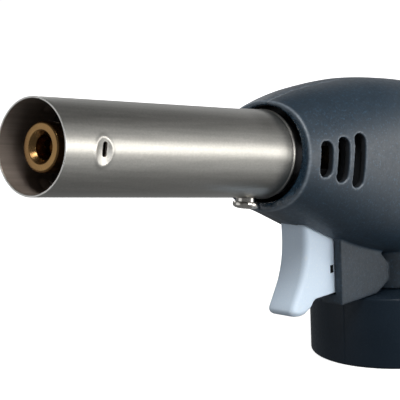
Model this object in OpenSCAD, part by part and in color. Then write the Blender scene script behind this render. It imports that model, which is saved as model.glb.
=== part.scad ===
// Cartridge torch head: burner tube, two-part pistol housing, piezo trigger,
// needle valve with a rear knob, and a bayonet collar for the gas cartridge.
// Frame: origin on the collar's axis at its lower face, +Z up, mouth towards -X.
// "d" is the distance behind the tube's mouth along its axis, "h" the height
// above that axis, square to it.

/* [Burner tube] */
// Outer diameter of the burner tube
tube_od = 22; // [18:0.5:24]
// Wall of the burner tube
tube_wall = 0.5; // [0.4:0.1:1]
// Length of the burner tube from its mouth to the rear bead
tube_len = 78.2; // [70:0.5:80]
// Depth of the burner head's face behind the mouth
head_recess = 2.8; // [1:0.1:6]
// Diameter of the burner head
head_d = 11.3; // [10:0.1:13]
// Bore of the burner head
head_bore = 5.5; // [4:0.1:6.5]

/* [Layout] */
// Distance of the mouth in front of the collar's axis
mouth_x = 133.5; // [130:0.5:140]
// Height of the mouth's centre above the collar's lower face
mouth_z = 75.6; // [72:0.1:80]
// Upward tilt of the burner tube, degrees
tilt = 9.4; // [8:0.1:11]

/* [Housing] */
// Wall of the housing
wall = 2; // [1.6:0.1:2.2]
// Radius of the hole round the burner tube
front_hole_r = 12.3; // [12:0.1:12.6]
// Half width of the trigger neck
neck_w = 7; // [6.6:0.1:8]
// Width of a vent slot
vent_w = 3.8; // [3:0.1:4.2]
// Pitch of the vent slots
vent_pitch = 5.5; // [5.2:0.1:5.8]
// Radius of the waist above the collar
waist_r = 14; // [13.5:0.1:15]

/* [Trigger] */
// Half width of the trigger
trig_w = 4.4; // [4:0.1:4.5]
// Travel of the trigger
trig_travel = 5; // [3:0.5:5]

/* [Collar] */
// Radius of the collar
collar_r = 24.2; // [23.5:0.1:26]
// Height of the collar
collar_h = 19.5; // [19:0.1:19.5]
// Radius of the cartridge socket
socket_r = 21; // [20.5:0.1:21.5]
// Depth of the cartridge socket
socket_len = 6; // [5:0.5:6]

/* [Knob] */
// Radius of the flame knob
knob_r = 12.5; // [11.5:0.1:13]
// Number of flutes on the knob
knob_flutes = 16; // [10:1:18]

/* [Hidden] */

$fn = 64;
tube_r = tube_od / 2;
rim_d = 78.7;            // front face of the housing
back_d = 163.6;          // rear face of the housing
knob_hole_r = 9.3;
screw_y = 3.5;           // seat of the housing screws' heads
gap = 0.05;              // running clearance of the spindle
col_housing = [0.19, 0.24, 0.29];
col_collar = [0.11, 0.13, 0.15];
col_light = [0.72, 0.80, 0.88];
col_steel = [0.72, 0.71, 0.68];
col_brass = [0.70, 0.52, 0.28];

// Housing outline in the tube's frame, one row per station:
// d, height of the top, depth of the bottom, half width
stations = [
  [78.7, 13.4, 14.4, 14.9], [84, 15.2, 15.7, 16.3], [90, 16.9, 17.5, 17.4],
  [96, 18.2, 19.3, 18.4], [104, 19.7, 21.6, 19.4], [113, 21.0, 23.6, 20.1],
  [122, 21.6, 25.0, 20.4], [131, 21.6, 26.0, 20.3], [140, 20.8, 26.1, 19.6],
  [147, 19.2, 24.9, 18.4], [153, 17.2, 22.2, 16.9], [159, 15.1, 17.8, 15.1],
  [163.6, 13.6, 14.0, 13.6]];
cuts_front = [rim_d, 80.6];
cuts_mid = [81.0, 84, 87.5, 91, 95, 99, 103, 107, 111, 115, 119, 123, 127,
  131, 135, 139, 143, 146.5, 150, 153, 156, 158.6, 160.8];
cuts_back = [161.2, back_d];
cuts = concat(cuts_front, cuts_mid, cuts_back);
arc_n = 22;              // steps round a half section

// screw posts: [x, z] in the frame of the collar, three in the body, one in the neck
function tp(d, h) = [-mouth_x + d * cos(tilt) + h * sin(tilt),
                     mouth_z - d * sin(tilt) + h * cos(tilt)];
posts = [tp(90, 11.6), tp(151, 12.6), tp(147, -17)];
neck_post = [-17, 25.6];

// smooth curve through the stations (Catmull-Rom on column k)
function seg(d, i = 0) = (i >= len(stations) - 2 || d < stations[i + 1][0]) ? i : seg(d, i + 1);
function slope(i, k) =
  let (a = max(i - 1, 0), b = min(i + 1, len(stations) - 1))
  (stations[b][k] - stations[a][k]) / (stations[b][0] - stations[a][0]);
function val(d, k) =
  let (i = seg(d), x0 = stations[i][0], x1 = stations[i + 1][0], w = x1 - x0,
       t = (d - x0) / w, y0 = stations[i][k], y1 = stations[i + 1][k],
       m0 = slope(i, k) * w, m1 = slope(i + 1, k) * w)
  (2*t*t*t - 3*t*t + 1) * y0 + (t*t*t - 2*t*t + t) * m0
  + (3*t*t - 2*t*t*t) * y1 + (t*t*t - t*t) * m1;
function pw(v, e) = v <= 0 ? 0 : pow(v, e);
function expo(d) = 2.15 + 0.45 * min(1, max(0, (d - 80) / 30)) - 0.5 * min(1, max(0, (d - 146) / 17));

// point at angle a (90 top, -90 bottom) of the outline at d, moved in by t
function outline(d, a, t) =
  let (up = val(d, 1), dn = val(d, 2), w = val(d, 3) - t, c = -0.8,
       hh = a >= 0 ? up - c - t : dn + c - t, n = expo(d))
  [w * pw(cos(a), 2 / n), c + (a >= 0 ? 1 : -1) * hh * pw(abs(sin(a)), 2 / n)];
function ringpt(r, a) = [r * max(0, cos(a)), r * sin(a)];
function angle_of(j) = 90 - 180 * j / arc_n;

// half of the hollow housing: side s = 1 is +Y, -1 is -Y
module shell_half(s) {
  m = 2 * (arc_n + 1);
  pts = [for (i = [0:len(cuts) - 1]) let (d = cuts[i])
    each [for (k = [0:m - 1])
      let (j = k <= arc_n ? k : m - 1 - k, a = angle_of(j),
           p = k <= arc_n ? outline(d, a, 0)
             : i < len(cuts_front) ? ringpt(front_hole_r, a)
             : i >= len(cuts) - len(cuts_back) ? ringpt(knob_hole_r, a)
             : outline(d, a, wall))
      [d, s * p[0], p[1]]]];
  n = len(cuts);
  sides = [for (i = [0:n - 2]) for (k = [0:m - 1])
    let (a = i * m + k, b = i * m + (k + 1) % m, c = b + m, e = a + m)
    each s < 0 ? [[a, c, b], [a, e, c]] : [[a, b, c], [a, c, e]]];
  capa = [for (j = [0:arc_n - 1])
    let (a = j, b = j + 1, c = m - 2 - j, e = m - 1 - j)
    each s < 0 ? [[a, b, c], [a, c, e]] : [[a, c, b], [a, e, c]]];
  o = (n - 1) * m;
  capb = [for (f = capa) [o + f[0], o + f[2], o + f[1]]];
  in_tube() polyhedron(pts, concat(sides, capa, capb), convexity = 8);
}

// solid half inside the skin, used to trim posts and ribs
module core_half(s, t) {
  m = arc_n + 1;
  ds = [for (i = [0:2:len(cuts) - 1]) cuts[i]];
  n = len(ds);
  pts = [for (i = [0:n - 1]) each [for (j = [0:arc_n])
    let (p = outline(ds[i], angle_of(j), t)) [ds[i], s * p[0], p[1]]]];
  sides = [for (i = [0:n - 2]) for (k = [0:m - 1])
    let (a = i * m + k, b = i * m + (k + 1) % m, c = b + m, e = a + m)
    each s < 0 ? [[a, c, b], [a, e, c]] : [[a, b, c], [a, c, e]]];
  capa = [for (j = [1:m - 2]) s < 0 ? [0, j, j + 1] : [0, j + 1, j]];
  o = (n - 1) * m;
  capb = [for (f = capa) [o + f[0], o + f[2], o + f[1]]];
  in_tube() polyhedron(pts, concat(sides, capa, capb), convexity = 4);
}

module in_tube() { translate([-mouth_x, 0, mouth_z]) rotate([0, tilt, 0]) children(); }
// cylinder along the tube's axis from d0 to d1
module rod(d0, d1, r, y = 0, h = 0) { translate([d0, y, h]) rotate([0, 90, 0]) cylinder(r = r, h = d1 - d0); }
module pipe(d0, d1, ro, ri) { difference() { rod(d0, d1, ro); rod(d0 - 1, d1 + 1, ri); } }
// cylinder along Y at x, z from y0 to y1
module ybar(x, z, y0, y1, r) { translate([x, y0, z]) rotate([-90, 0, 0]) cylinder(r = r, h = y1 - y0); }
module box(x0, x1, y0, y1, z0, z1) { translate([x0, y0, z0]) cube([x1 - x0, y1 - y0, z1 - z0]); }
// slab with an outline in X and Z, from y0 to y1
module slab(outline_xz, y0, y1) { translate([0, y1, 0]) rotate([90, 0, 0]) linear_extrude(y1 - y0) polygon(outline_xz); }

neck_xz = [[-34, 19.8], [-18.2, 19.8], [-13, 22.2], [-13, 27.3], [-16.2, 30.6], [-13, 31.8], [-13, 33.4], [-34, 39.4]];

module vents(s) {
  in_tube() for (i = [0:2]) {
    l = 9 + 2.35 * i;
    d = 84.3 + vent_pitch * i;
    translate([d, 0, 0]) {
      translate([-vent_w / 2, s > 0 ? 8 : -24, -(l - vent_w) / 2]) cube([vent_w, 16, l - vent_w]);
      for (e = [-1, 1]) translate([0, s > 0 ? 8 : -24, e * (l - vent_w) / 2])
        rotate([-90, 0, 0]) cylinder(d = vent_w, h = 16, $fn = 32);
    }
  }
}

// posts, ribs and the cradle of the valve, before they are trimmed to the skin
module ribs(s) {
  y0 = s > 0 ? 0 : -24; y1 = s > 0 ? 24 : 0;
  for (p = posts) ybar(p[0], p[1], y0, y1, 3.6, $fn = 32);
  in_tube() difference() {
    for (d = [98.6, 104.6, 118, 143.5]) translate([d, y0, -11.6]) cube([1.8, y1 - y0, 36]);
    rod(98, 107, 9.2);
    rod(104.5, 150, 8.3);
    rod(98, 100.6, 9.2);
  }
}

module housing_half(s) {
  y0 = s > 0 ? 0 : -neck_w; y1 = s > 0 ? neck_w : 0;
  difference() {
    union() {
      difference() {
        union() {
          shell_half(s);
          intersection() { ribs(s); core_half(s, 0.7); }
          slab(neck_xz, y0, y1);
          intersection() {
            translate([0, 0, 19.8]) cylinder(r = waist_r, h = 10.4);
            box(-20, 20, s > 0 ? 0 : -20, s > 0 ? 20 : 0, 19, 31);
          }
        }
        // hollow of the neck, and the slot that the trigger slides in
        box(-32.2, -14.8, -5.2, 5.2, 22.3, 40.6);
        box(-45.9, -31, -4.75, 4.75, 22.3, 47);
        // seat of the collar's spigot
        translate([0, 0, 19]) cylinder(r = 10.3, h = 5);
        translate([0, 0, 22.5]) cylinder(r = 12.3, h = 9);
        vents(s);
      }
      ybar(neck_post[0], neck_post[1], s > 0 ? 0 : -5.6, s > 0 ? 5.6 : 0, 2.4, $fn = 32);
      // ledges under the igniter
      box(-27.7, -16.6, s > 0 ? 2 : -5.6, s > 0 ? 5.6 : -2, 28.2, 29.8);
    }
    for (p = concat(posts, [neck_post])) {
      if (s > 0) {
        ybar(p[0], p[1], screw_y, 26, p == neck_post ? 2.05 : 2.6, $fn = 32);
        ybar(p[0], p[1], -1, 8, 1.4, $fn = 32);
      } else ybar(p[0], p[1], -6.2, 1, 1.2, $fn = 32);
    }
  }
}
module housing_right() { color(col_housing) housing_half(-1); }
module housing_left() { color(col_housing) housing_half(1); }

module housing_screws() {
  color(col_steel) for (p = concat(posts, [neck_post])) difference() {
    union() {
      ybar(p[0], p[1], screw_y + 0.02, screw_y + 1.6, 1.95, $fn = 32);
      ybar(p[0], p[1], -6, screw_y + 0.1, 1.15, $fn = 32);
    }
    translate([p[0], screw_y + 1.3, p[1]]) {
      cube([2.4, 1.2, 0.5], center = true);
      cube([0.5, 1.2, 2.4], center = true);
    }
  }
}

module base_collar() {
  color(col_collar) difference() {
    rotate_extrude($fn = 96) polygon([[socket_r, 0], [collar_r - 0.5, 0], [collar_r, 0.5],
      [collar_r, collar_h - 0.6], [collar_r - 0.6, collar_h], [10, collar_h], [10, 22.9],
      [12, 22.9], [12, 24.9], [7.5, 24.9], [7.5, 13.4], [19, 13.4], [19, socket_len], [socket_r, socket_len]]);
  }
  color(col_collar) for (a = [60, 180, 300]) rotate(a) translate([16.4, 0, 7.6]) difference() {
    cylinder(r = 2.5, h = 5.9, $fn = 32);
    translate([0, 0, -1]) cylinder(r = 1, h = 5.5, $fn = 32);
  }
}

// steel plate with a round opening and three bayonet lobes
module bayonet_plate() {
  color(col_steel) difference() {
    translate([0, 0, 6.05]) cylinder(r = 18.9, h = 1.5);
    translate([0, 0, 5]) cylinder(r = 12.4, h = 4);
    for (a = [0, 120, 240]) rotate(a) intersection() {
      translate([0, 0, 5]) cylinder(r = 15.4, h = 4);
      translate([0, -4, 5]) cube([20, 8, 4]);
    }
    for (a = [60, 180, 300]) rotate(a) translate([16.4, 0, 0]) rotate_extrude($fn = 32)
      polygon([[0, 5], [2.4, 5], [2.4, 6.3], [1.2, 7.5], [1.2, 8], [0, 8]]);
  }
}

module plate_screws() {
  color(col_steel) for (a = [60, 180, 300]) rotate(a) translate([16.4, 0, 0]) difference() {
    rotate_extrude($fn = 32) polygon([[0, 6.12], [2.1, 6.12], [2.2, 6.24], [0.95, 7.5], [0.95, 11.4], [0, 11.4]]);
    translate([0, 0, 6.2]) { cube([2.4, 0.5, 1], center = true); cube([0.5, 2.4, 1], center = true); }
  }
}

module inlet_nozzle() {
  color(col_brass) rotate_extrude() polygon([[0.6, 6.4], [1.3, 6.4], [1.6, 6.9], [1.6, 9.4],
    [2.6, 9.8], [2.6, 14], [6.9, 14], [6.9, 16.6], [4, 16.6], [4, 26], [0.6, 26]]);
}

module inlet_seal() {
  color([0.12, 0.12, 0.12]) rotate_extrude() polygon([[2.7, 10.4], [6.2, 10.4], [6.6, 10.8], [6.6, 13.9], [2.7, 13.9]]);
}

// body along the tube's axis with the inlet stem on the collar's axis
module valve_body() {
  color(col_brass) difference() {
    union() {
      in_tube() { rod(99.1, 104.2, 4); rod(104.2, 146.2, 8); rod(124, 131, 8.25); }
      rotate_extrude() polygon([[0, 20], [6.4, 20], [6.4, 27.6], [4.8, 28.6], [4.8, 53], [0, 53]]);
    }
    in_tube() {
      rod(98, 104.6, 1.7);      // seat of the jet
      rod(98, 127, 0.9);        // passage to the jet
      rod(126.5, 147, 3.6);     // chamber of the spindle
      rod(143.2, 147, 5.1);     // seat of the gland nut
    }
    translate([0, 0, 19]) cylinder(r = 4.1, h = 7.1);
    translate([0, 0, 25]) cylinder(r = 1.2, h = 27);
  }
}

module valve_spindle() {
  color(col_steel) in_tube() difference() {
    union() {
      translate([125.4, 0, 0]) rotate([0, 90, 0]) rotate_extrude()
        polygon([[0, 0], [0.35, 0], [2, 4.2], [2, 10.6], [3, 11], [3, 30.6], [2.5, 31], [2.5, 47.4], [0, 47.4]]);
    }
    translate([159.2, -3, 1.9]) cube([15, 6, 2]);
  }
}

module spindle_seals() {
  color([0.12, 0.12, 0.12]) in_tube() for (d = [138.4, 141]) pipe(d, d + 1.6, 3.56, 3.04);
}

module gland_nut() {
  color(col_brass) in_tube() difference() {
    union() {
      rod(143.4, 147, 5);
      translate([146.4, 0, 0]) rotate([0, 90, 0]) cylinder(r = 7.2, h = 6, $fn = 6);
    }
    rod(142, 154, 3 + gap);
  }
}

module regulator_knob() {
  color(col_light) in_tube() difference() {
    translate([157.6, 0, 0]) rotate([0, 90, 0]) rotate_extrude($fn = 96)
      polygon([[0, 0], [10.7, 0], [10.7, 2.4], [8.9, 2.8], [8.9, 6.4], [knob_r - 0.8, 6.4],
        [knob_r, 7.2], [knob_r, 19.2], [knob_r - 1.2, 20.4], [6.2, 20.4], [6.2, 19], [0, 19]]);
    difference() { rod(156, 175, 2.85); translate([161.2, -3, 2.2]) cube([15, 6, 2]); }
    for (i = [0:knob_flutes - 1]) rotate([i * 360 / knob_flutes, 0, 0])
      rod(166, 180, 1.5, 0, knob_r + 0.75);
  }
}

module knob_cap() {
  color(col_housing) in_tube() difference() {
    translate([176.65, 0, 0]) rotate([0, 90, 0]) rotate_extrude()
      polygon([[0, 0], [6, 0], [6, 1.3], [5.5, 1.8], [0, 1.8]]);
  }
}

module gas_jet() {
  color(col_brass) in_tube() difference() {
    union() { rod(93, 99, 2.7); rod(98.5, 102.8, 1.6); }
    rod(92, 94.5, 0.3, $fn = 24);
    rod(94.3, 104, 0.9);
  }
}

module jet_filter() { color([0.55, 0.5, 0.42]) in_tube() rod(102.9, 104.3, 1.6); }

module tube_holder() {
  color([0.35, 0.35, 0.36]) in_tube() difference() {
    translate([66, 0, 0]) rotate([0, 90, 0]) rotate_extrude()
      polygon([[8.7, 0], [tube_r - tube_wall - 0.05, 0], [tube_r - tube_wall - 0.05, 15], [8.6, 17],
        [8.6, 34.8], [11.8, 34.8], [11.8, 38], [4.1, 38], [4.1, 32.2], [6.9, 32.2], [6.9, 17.8], [8.7, 16]]);
    for (a = [0, 90]) rotate([a, 0, 0]) translate([86, -3, -12]) cube([11, 6, 24]);
    translate([73.4, 0, -12]) cylinder(r = 1.05, h = 6, $fn = 32);
  }
}

module mixing_tube() {
  color(col_brass) in_tube() difference() {
    pipe(13, 98.9, 4, 2.8);
    for (a = [0, 90]) rotate([a, 0, 0]) translate([90.5, 0, -6]) cylinder(r = 1.5, h = 12, $fn = 32);
  }
}

module burner_head() {
  color(col_brass) in_tube() translate([head_recess, 0, 0]) rotate([0, 90, 0]) rotate_extrude()
    polygon([[head_bore / 2, 0.5], [head_bore / 2 + 0.5, 0], [head_d / 2 - 0.5, 0], [head_d / 2, 0.5], [head_d / 2, 14.6],
      [4.8, 15.4], [4.05, 15.4], [4.05, 10.1], [1.9, 10.1], [1.9, 6.4], [head_bore / 2, 5.6]]);
}

module flame_disc() {
  color([0.3, 0.3, 0.32]) in_tube() difference() {
    pipe(14.4, 15.6, tube_r - tube_wall - 0.1, head_d / 2 + 0.05);
    for (i = [0:8]) rotate([i * 40, 0, 0]) rod(14, 17, 1.15, 0, 8, $fn = 32);
  }
}

// tube with a rolled bead, three pressed dimples and their slots
module burner_tube() {
  color(col_steel) in_tube() difference() {
    union() {
      translate([0, 0, 0]) rotate([0, 90, 0]) rotate_extrude($fn = 96)
        polygon([[tube_r - tube_wall, 0], [tube_r, 0], [tube_r, tube_len - 9.2], [tube_r + 0.12, tube_len - 8.7],
          [tube_r + 0.12, tube_len - 1.1], [tube_r + 0.3, tube_len - 0.9],
          [tube_r + 0.3, tube_len - 0.2], [tube_r + 0.1, tube_len], [tube_r - tube_wall, tube_len]]);
      for (a = [0, 120, 240]) rotate([a, 0, 0]) translate([11.3, -tube_r + 1.5, 0])
        rotate([90, 0, 0]) cylinder(r1 = 1.7, r2 = 2.9, h = 1.2, $fn = 32);
    }
    for (a = [0, 120, 240]) rotate([a, 0, 0]) {
      translate([11.3, -tube_r + 1, 0]) rotate([90, 0, 0]) cylinder(r1 = 1.2, r2 = 3.4, h = 2.2, $fn = 32);
      translate([11.75, -tube_r + 1, 0.5]) cube([1.1, 6, 3.2], center = true);
    }
    translate([73.4, 0, -14]) cylinder(r = 1.3, h = 8, $fn = 32);
  }
}

module tube_screw() {
  color(col_steel) in_tube() translate([73.4, 0, 0]) difference() {
    union() {
      translate([0, 0, -13.7]) cylinder(r = 3.3, h = 1.75, $fn = 48);
      translate([0, 0, -12]) cylinder(r = 1, h = 3.3, $fn = 32);
    }
    for (a = [45, 135]) rotate(a) translate([0, 0, -13.5]) cube([3.8, 0.8, 1.3], center = true);
  }
}

module screw_washer() {
  color(col_steel) in_tube() translate([73.4, 0, -11.9]) difference() {
    cylinder(r = 2.5, h = 0.95, $fn = 48);
    translate([0, 0, -1]) cylinder(r = 1.2, h = 3, $fn = 32);
    rotate([0, 0, 0]) translate([0, 0, 11.9]) rotate([0, 90, 0]) cylinder(r = tube_r + 0.13, h = 20, center = true);
  }
}

module electrode_rod() {
  color(col_steel) in_tube() { rod(19, 80.6, 0.55, 0, -6.6, $fn = 24); }
}

module electrode_insulator() {
  color([0.93, 0.92, 0.88]) in_tube() difference() {
    rod(52, 82, 1.6, 0, -6.6, $fn = 32);
    rod(51, 80.7, 0.6, 0, -6.6, $fn = 24);
  }
}

// route of the high-voltage lead in X and Z, from the insulator to the igniter
lead_tube = [[82.15, -6.5], [83.6, -5.9], [85.6, -5.5], [87.6, -6], [89.6, -7.8], [91.4, -10.2], [93.4, -12.3], [95.6, -13.5]];
lead_xz = concat([for (p = lead_tube) tp(p[0], p[1])],
  [[-39.4, 46], [-36, 45.65], [-32.5, 45.6], [-29.5, 45.3], [-25, 44.4], [-21.5, 43.5], [-18.8, 42.5], [-17.6, 41.6], [-17.4, 40.7]]);
module ignition_lead() {
  n = len(lead_xz); k = 8; r = 0.9;
  tang = [for (i = [0:n - 1]) let (a = lead_xz[max(0, i - 1)], b = lead_xz[min(n - 1, i + 1)],
    l = norm(b - a)) (b - a) / l];
  pts = [for (i = [0:n - 1]) each [for (j = [0:k - 1]) let (a = 360 * j / k)
    [lead_xz[i][0] - tang[i][1] * r * cos(a), r * sin(a), lead_xz[i][1] + tang[i][0] * r * cos(a)]]];
  sides = [for (i = [0:n - 2]) for (j = [0:k - 1])
    let (a = i * k + j, b = i * k + (j + 1) % k) each [[a, b, b + k], [a, b + k, a + k]]];
  capa = [for (j = [1:k - 2]) [0, j + 1, j]];
  o = (n - 1) * k;
  capb = [for (j = [1:k - 2]) [o, o + j, o + j + 1]];
  color([0.16, 0.16, 0.17]) polyhedron(pts, concat(sides, capa, capb));
}

module earth_strip() {
  color(col_brass) {
    box(-14.95, -14.45, -2, 2, 35.2, 39.3);
    box(-14.95, -4.85, -2, 2, 38.85, 39.35);
    box(-5.35, -4.85, -2, 2, 34.4, 39.3);
  }
}

module piezo_body() {
  color([0.16, 0.16, 0.17]) difference() {
    union() {
      box(-32, -15, -3, 3, 30.4, 38.8);
      translate([-17.4, 0, 38.6]) cylinder(r = 1.9, h = 2, $fn = 32);
      box(-29.5, -15.2, -3.4, 3.4, 29.9, 31.6);
    }
    translate([-33, 0, 34.6]) rotate([0, 90, 0]) cylinder(r = 2.3, h = 11);
  }
}

module piezo_plunger() {
  color([0.85, 0.85, 0.83]) translate([-38.9, 0, 34.6]) rotate([0, 90, 0]) {
    cylinder(r = 2, h = 9);
    cylinder(r = 2.6, h = 0.8);
  }
}

// coil spring round the plunger, between its head and the igniter
module trigger_spring() {
  turns = 4; k = 6; steps = 14; r = 0.25; rr = 2.75; x0 = -37.7; x1 = -32.4;
  n = turns * steps;
  pts = [for (i = [0:n]) let (a = 360 * i / steps, x = x0 + (x1 - x0) * i / n)
    each [for (j = [0:k - 1]) let (b = 360 * j / k)
      [x + r * sin(b), (rr + r * cos(b)) * cos(a), 34.6 + (rr + r * cos(b)) * sin(a)]]];
  sides = [for (i = [0:n - 1]) for (j = [0:k - 1])
    let (a = i * k + j, b = i * k + (j + 1) % k) each [[a, b, b + k], [a, b + k, a + k]]];
  capa = [for (j = [1:k - 2]) [0, j + 1, j]];
  capb = [for (j = [1:k - 2]) [n * k, n * k + j, n * k + j + 1]];
  color(col_steel) polyhedron(pts, concat(sides, capa, capb));
}

trig_xz = [[-45.3, 44], [-45.2, 38.7], [-45.35, 35.5], [-46, 32.2], [-47.3, 28.6],
  [-49.4, 25], [-51.1, 22.2], [-51.35, 21], [-50.8, 20.1], [-49.2, 19.5], [-46.6, 19.3], [-44.8, 19.8],
  [-43.4, 20.9], [-42.5, 22.3], [-41.6, 22.8], [-28, 22.8], [-28, 27.4], [-33.2, 27.4], [-33.2, 41], [-38, 44]];
module trigger() {
  color(col_light) difference() {
    slab(trig_xz, -trig_w, trig_w);
    box(-38.9, -30, -3.45, 3.45, 29.3, 40.2);
    for (s = [-1, 1]) translate([-34.6, s * trig_w, 29.5]) cube([0.8, 0.8, 2.1], center = true);
  }
}

housing_right();
housing_left();
housing_screws();
base_collar();
bayonet_plate();
plate_screws();
inlet_nozzle();
inlet_seal();
valve_body();
valve_spindle();
spindle_seals();
gland_nut();
regulator_knob();
knob_cap();
gas_jet();
jet_filter();
tube_holder();
mixing_tube();
burner_head();
flame_disc();
burner_tube();
tube_screw();
screw_washer();
electrode_rod();
electrode_insulator();
ignition_lead();
earth_strip();
piezo_body();
piezo_plunger();
trigger_spring();
trigger();
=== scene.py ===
import math
import bpy
import bmesh
import numpy as np
from mathutils import Matrix, Vector


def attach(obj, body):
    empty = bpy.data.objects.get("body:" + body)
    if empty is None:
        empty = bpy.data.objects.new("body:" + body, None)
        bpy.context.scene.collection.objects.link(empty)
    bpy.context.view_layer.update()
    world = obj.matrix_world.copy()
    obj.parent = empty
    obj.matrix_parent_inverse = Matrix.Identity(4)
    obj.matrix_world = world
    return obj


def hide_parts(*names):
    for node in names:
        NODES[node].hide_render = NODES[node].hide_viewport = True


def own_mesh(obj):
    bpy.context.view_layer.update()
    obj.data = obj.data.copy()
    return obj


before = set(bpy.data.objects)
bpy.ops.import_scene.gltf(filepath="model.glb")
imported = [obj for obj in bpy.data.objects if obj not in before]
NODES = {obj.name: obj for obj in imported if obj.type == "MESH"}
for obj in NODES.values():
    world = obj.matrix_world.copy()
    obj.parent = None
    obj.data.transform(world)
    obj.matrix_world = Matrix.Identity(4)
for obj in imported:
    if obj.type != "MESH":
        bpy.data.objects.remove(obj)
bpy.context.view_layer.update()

SC = bpy.context.scene
MM = 0.001

# ------------------------------------------------------------------ layout, millimetres
MOUTH_X, MOUTH_Z, TILT = 133.5, 75.6, math.radians(9.4)
CT, ST = math.cos(TILT), math.sin(TILT)


def T(d, y, h):
    """Point at d behind the mouth, y across, h above the tube's axis, in the row frame."""
    d, y, h = np.broadcast_arrays(np.asarray(d, float), np.asarray(y, float), np.asarray(h, float))
    return np.stack([-MOUTH_X + d * CT + h * ST, y + 0 * d, MOUTH_Z - d * ST + h * CT], -1)


# ------------------------------------------------------------------ camera
CAM_POS = (-371.36, -265.08, 128.09)
YAW, PITCH, ROLL, FPX = math.radians(47.70), math.radians(-10.51), math.radians(-2.41), 1660.3
fwd = Vector((math.sin(YAW) * math.cos(PITCH), math.cos(YAW) * math.cos(PITCH), math.sin(PITCH)))
right = Vector((math.cos(YAW), -math.sin(YAW), 0))
up = right.cross(fwd)
r2 = math.cos(ROLL) * right + math.sin(ROLL) * up
u2 = -math.sin(ROLL) * right + math.cos(ROLL) * up
cam_data = bpy.data.cameras.new("camera")
cam_data.sensor_width = 36.0
cam_data.lens = FPX / 400 * 36.0
cam_data.clip_start, cam_data.clip_end = 0.01, 20
cam = bpy.data.objects.new("camera", cam_data)
cam.matrix_world = Matrix(((r2.x, u2.x, -fwd.x, CAM_POS[0] * MM), (r2.y, u2.y, -fwd.y, CAM_POS[1] * MM),
                           (r2.z, u2.z, -fwd.z, CAM_POS[2] * MM), (0, 0, 0, 1)))
SC.collection.objects.link(cam)
SC.camera = cam

# ------------------------------------------------------------------ mesh helpers


def add_mesh(name, verts, faces, smooth=35):
    me = bpy.data.meshes.new(name)
    me.from_pydata([tuple(v) for v in np.asarray(verts, float) * MM], [], [tuple(int(i) for i in f) for f in faces])
    me.validate()
    me.update()
    ob = bpy.data.objects.new(name, me)
    SC.collection.objects.link(ob)
    bm = bmesh.new()
    bm.from_mesh(me)
    bmesh.ops.remove_doubles(bm, verts=bm.verts, dist=1e-7)
    bmesh.ops.recalc_face_normals(bm, faces=bm.faces)
    bm.to_mesh(me)
    bm.free()
    shade(ob, smooth)
    return ob


def shade(ob, smooth=35):
    ob.data.shade_smooth()
    ob.data.set_sharp_from_angle(angle=math.radians(smooth))


def bake(ob):
    """Apply all the modifiers."""
    dg = bpy.context.evaluated_depsgraph_get()
    dg.update()
    me = bpy.data.meshes.new_from_object(ob.evaluated_get(dg))
    ob.modifiers.clear()
    old = ob.data
    ob.data = me
    bpy.data.meshes.remove(old)
    return ob


def boolean(ob, cutter, op="DIFFERENCE", keep=False):
    before = len(ob.data.vertices)
    for solver in ("MANIFOLD", "EXACT"):
        m = ob.modifiers.new("cut", "BOOLEAN")
        m.operation, m.object, m.solver = op, cutter, solver
        dg = bpy.context.evaluated_depsgraph_get()
        dg.update()
        me = bpy.data.meshes.new_from_object(ob.evaluated_get(dg))
        ob.modifiers.clear()
        if len(me.vertices) > 8:
            old = ob.data
            ob.data = me
            bpy.data.meshes.remove(old)
            break
        print("boolean fell back on", ob.name, cutter.name, solver)
    if not keep:
        old = cutter.data
        bpy.data.objects.remove(cutter)
        bpy.data.meshes.remove(old)
    return ob


def loft(name, rings, closed_ends=True, wrap=False, smooth=35):
    """Closed loops of equal length, joined in turn. wrap joins the last to the first."""
    rings = [np.asarray(r, float) for r in rings]
    n, m = len(rings), len(rings[0])
    verts = np.concatenate(rings)
    faces = []
    for i in range(n if wrap else n - 1):
        a, b = i * m, ((i + 1) % n) * m
        for k in range(m):
            k2 = (k + 1) % m
            faces.append((a + k, a + k2, b + k2, b + k))
    if closed_ends and not wrap:
        faces.append(tuple(range(m))[::-1])
        faces.append(tuple((n - 1) * m + k for k in range(m)))
    return add_mesh(name, verts, faces, smooth)


def fillet(points, radii, steps=5):
    """A closed 2-D outline with each corner rounded to its radius."""
    pts = [np.array(p, float) for p in points]
    if not hasattr(radii, "__len__"):
        radii = [radii] * len(pts)
    out = []
    for i, p in enumerate(pts):
        a, b = pts[i - 1], pts[(i + 1) % len(pts)]
        r = radii[i]
        u, v = a - p, b - p
        lu, lv = np.linalg.norm(u), np.linalg.norm(v)
        if r <= 0 or lu < 1e-9 or lv < 1e-9:
            out.append(p)
            continue
        u, v = u / lu, v / lv
        ang = math.acos(max(-1, min(1, float(u @ v))))
        if ang > math.pi - 0.02:
            out.append(p)
            continue
        t = min(r / math.tan(ang / 2), 0.48 * lu, 0.48 * lv)
        rr = t * math.tan(ang / 2)
        c = p + (u + v) / np.linalg.norm(u + v) * (rr / math.sin(ang / 2))
        s, e = p + u * t - c, p + v * t - c
        turn = math.atan2(s[0] * e[1] - s[1] * e[0], float(s @ e))
        for k in range(steps + 1):
            f = turn * k / steps
            out.append(c + np.array([s[0] * math.cos(f) - s[1] * math.sin(f), s[0] * math.sin(f) + s[1] * math.cos(f)]))
    return np.array(out)


def lathe(name, profile, place, n=128, smooth=35, radius=None):
    """Turn a closed outline of (radius, along) about an axis. place(r*cos, r*sin, along) gives the point.
    radius(r, along, angle) may change the radius."""
    prof = np.asarray(profile, float)
    rings = []
    for k in range(n):
        a = 2 * math.pi * k / n
        r = prof[:, 0].copy()
        if radius is not None:
            r = radius(r, prof[:, 1], a)
        rings.append(place(r * math.cos(a), r * math.sin(a), prof[:, 1]))
    return loft(name, rings, wrap=True, smooth=smooth)


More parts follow.
